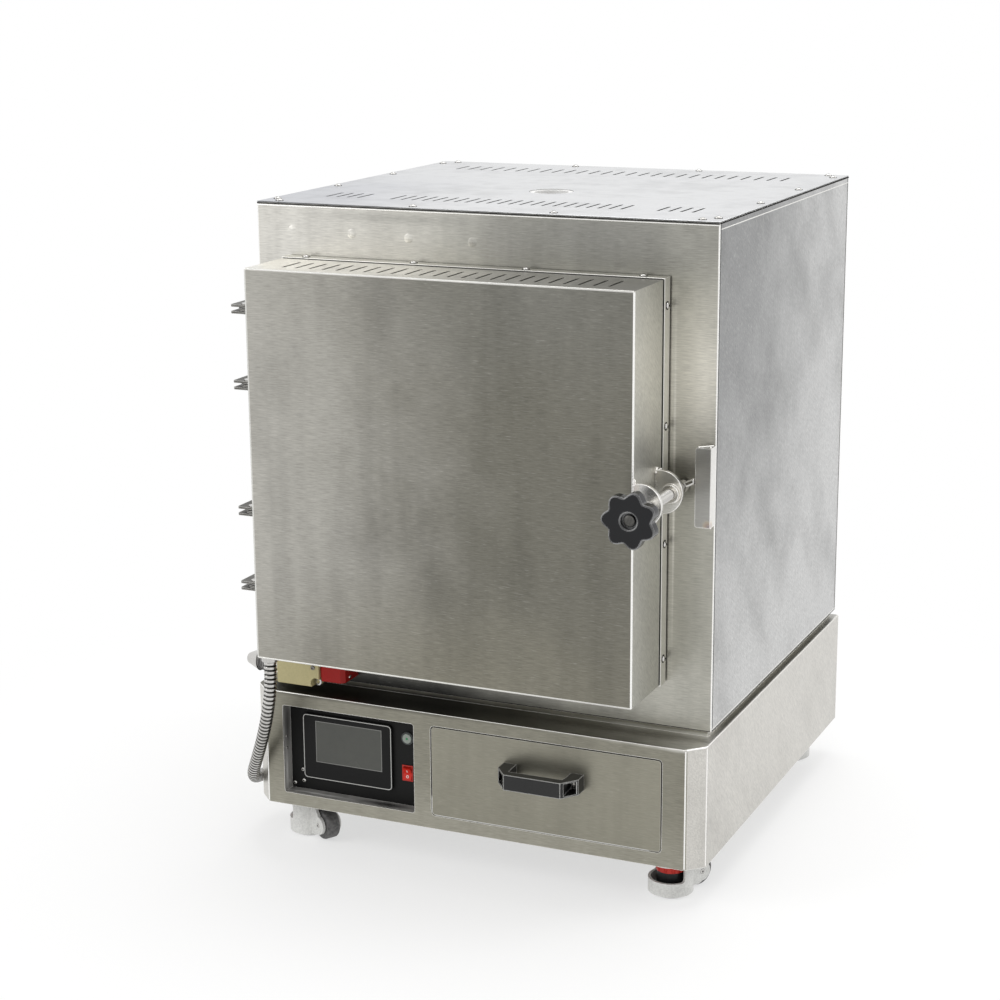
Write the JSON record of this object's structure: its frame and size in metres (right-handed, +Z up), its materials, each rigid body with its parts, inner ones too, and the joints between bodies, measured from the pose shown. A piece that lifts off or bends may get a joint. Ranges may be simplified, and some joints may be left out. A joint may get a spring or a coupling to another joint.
{
  "type": "burnout oven",
  "caption": "Floor-standing electric burnout oven with a side-hinged insulated door, screw clamp, control recess, tool drawer and levelling casters.",
  "frame": {"origin": "on the floor under the middle of the oven's outer box", "axes": "+X to the oven's right seen from the front, +Y to its rear, +Z up"},
  "size_m": [0.637, 0.748, 0.8265],
  "materials": {
    "brushed_stainless": "satin, brushed",
    "polished_stainless": "polished",
    "plated_steel": "bright plated",
    "fibre_board": "matt",
    "ceramic": "matt",
    "element_alloy": "oxidised",
    "rope_seal": "matt",
    "black_plastic": "satin",
    "dark_panel": "satin",
    "red_plastic": "gloss",
    "button_plastic": "gloss",
    "handle_plastic": "satin",
    "switch_plastic": "satin",
    "cast_alloy": "painted",
    "wheel_nylon": "satin",
    "pad_rubber": "matt"
  },
  "bodies": {
    "cabinet": {"top_cover": "brushed_stainless", "cabinet_front": "brushed_stainless", "cabinet_left": "brushed_stainless", "cabinet_right": "brushed_stainless", "rear_cover": "brushed_stainless", "cover_screws": "plated_steel", "insulation_floor": "fibre_board", "insulation_roof": "fibre_board", "insulation_sides": "fibre_board", "insulation_rear": "fibre_board", "heating_elements": "element_alloy", "thermocouple": "ceramic", "hearth_plate": "ceramic", "flue_tube": "ceramic", "hinge_brackets": "brushed_stainless", "hinge_pins": "plated_steel", "latch_keeper": "brushed_stainless", "switch_body": "switch_plastic", "switch_head": "red_plastic", "cable_glands": "plated_steel", "conduit": "plated_steel", "base_front": "brushed_stainless", "base_shell": "brushed_stainless", "base_floor": "brushed_stainless", "control_recess": "polished_stainless", "control_panel": "dark_panel", "touch_screen": "black_plastic", "switch_bezels": "red_plastic", "control_electronics": "black_plastic", "drawer_runners": "plated_steel", "caster_plates": "plated_steel"},
    "door": {"door_shell": "brushed_stainless", "door_frame": "brushed_stainless", "door_insulation": "fibre_board", "door_seal": "rope_seal", "door_screws": "plated_steel", "door_hinge_arms": "brushed_stainless", "door_gland": "plated_steel", "switch_key": "plated_steel", "clamp_lugs": "brushed_stainless"},
    "clamp": {"clamp_knob": "black_plastic", "clamp_bolt": "plated_steel"},
    "drawer": {"drawer_box": "brushed_stainless", "drawer_front": "brushed_stainless", "drawer_handle": "handle_plastic", "handle_screws": "plated_steel"},
    "rocker": {"power_rocker": "red_plastic"},
    "button": {"start_button": "button_plastic"},
    "front_left_fork": {"caster_front_left_housing": "cast_alloy"},
    "front_left_wheel": {"caster_front_left_wheel": "wheel_nylon"},
    "front_left_foot": {"caster_front_left_foot": "pad_rubber"},
    "front_right_fork": {"caster_front_right_housing": "cast_alloy"},
    "front_right_wheel": {"caster_front_right_wheel": "wheel_nylon"},
    "front_right_foot": {"caster_front_right_foot": "pad_rubber"},
    "back_left_fork": {"caster_back_left_housing": "cast_alloy"},
    "back_left_wheel": {"caster_back_left_wheel": "wheel_nylon"},
    "back_left_foot": {"caster_back_left_foot": "pad_rubber"},
    "back_right_fork": {"caster_back_right_housing": "cast_alloy"},
    "back_right_wheel": {"caster_back_right_wheel": "wheel_nylon"},
    "back_right_foot": {"caster_back_right_foot": "pad_rubber"}
  },
  "joints": [
    {"name": "door_hinge", "type": "hinge", "parent": "cabinet", "child": "door", "pos_m": [-0.30245, -0.203, 0.515], "axis": [0, 0, -1], "range_deg": [0, 170]},
    {"name": "clamp_turn", "type": "hinge", "parent": "door", "child": "clamp", "pos_m": [0.27255, -0.291, 0.515], "axis": [0, -1, 0], "range_deg": [-27, 90]},
    {"name": "drawer_slide", "type": "slide", "parent": "cabinet", "child": "drawer", "axis": [0, -1, 0], "range_m": [0, 0.23]},
    {"name": "rocker_tilt", "type": "hinge", "parent": "cabinet", "child": "rocker", "pos_m": [-0.08075, -0.2152, 0.1125], "axis": [-1, 0, 0], "range_deg": [0, 16]},
    {"name": "button_press", "type": "slide", "parent": "cabinet", "child": "button", "axis": [0, 1, 0], "range_m": [0, 0.0025], "stiffness_N_per_m": 400},
    {"name": "front_left_swivel", "type": "hinge", "parent": "cabinet", "child": "front_left_fork", "pos_m": [-0.23885, -0.188, 0.074], "axis": [0, 0, 1], "continuous": true},
    {"name": "front_left_wheel_spin", "type": "hinge", "parent": "front_left_fork", "child": "front_left_wheel", "pos_m": [-0.20508, -0.2075, 0.0203], "axis": [0.5, 0.866, 0], "continuous": true},
    {"name": "front_left_foot_level", "type": "slide", "parent": "front_left_fork", "child": "front_left_foot", "axis": [0, 0, 1], "range_m": [-0.008, 0.003]},
    {"name": "front_right_swivel", "type": "hinge", "parent": "cabinet", "child": "front_right_fork", "pos_m": [0.26195, -0.188, 0.074], "axis": [0, 0, 1], "continuous": true},
    {"name": "front_right_wheel_spin", "type": "hinge", "parent": "front_right_fork", "child": "front_right_wheel", "pos_m": [0.28204, -0.15457, 0.0203], "axis": [-0.8572, 0.515, 0], "continuous": true},
    {"name": "front_right_foot_level", "type": "slide", "parent": "front_right_fork", "child": "front_right_foot", "axis": [0, 0, 1], "range_m": [-0.008, 0.003]},
    {"name": "back_left_swivel", "type": "hinge", "parent": "cabinet", "child": "back_left_fork", "pos_m": [-0.23885, 0.317, 0.074], "axis": [0, 0, 1], "continuous": true},
    {"name": "back_left_wheel_spin", "type": "hinge", "parent": "back_left_fork", "child": "back_left_wheel", "pos_m": [-0.2742, 0.30052, 0.0203], "axis": [0.4226, -0.9063, 0], "continuous": true},
    {"name": "back_left_foot_level", "type": "slide", "parent": "back_left_fork", "child": "back_left_foot", "axis": [0, 0, 1], "range_m": [-0.008, 0.003]},
    {"name": "back_right_swivel", "type": "hinge", "parent": "cabinet", "child": "back_right_fork", "pos_m": [0.26195, 0.317, 0.074], "axis": [0, 0, 1], "continuous": true},
    {"name": "back_right_wheel_spin", "type": "hinge", "parent": "back_right_fork", "child": "back_right_wheel", "pos_m": [0.22817, 0.3365, 0.0203], "axis": [-0.5, -0.866, 0], "continuous": true},
    {"name": "back_right_foot_level", "type": "slide", "parent": "back_right_fork", "child": "back_right_foot", "axis": [0, 0, 1], "range_m": [-0.008, 0.003]}
  ]
}
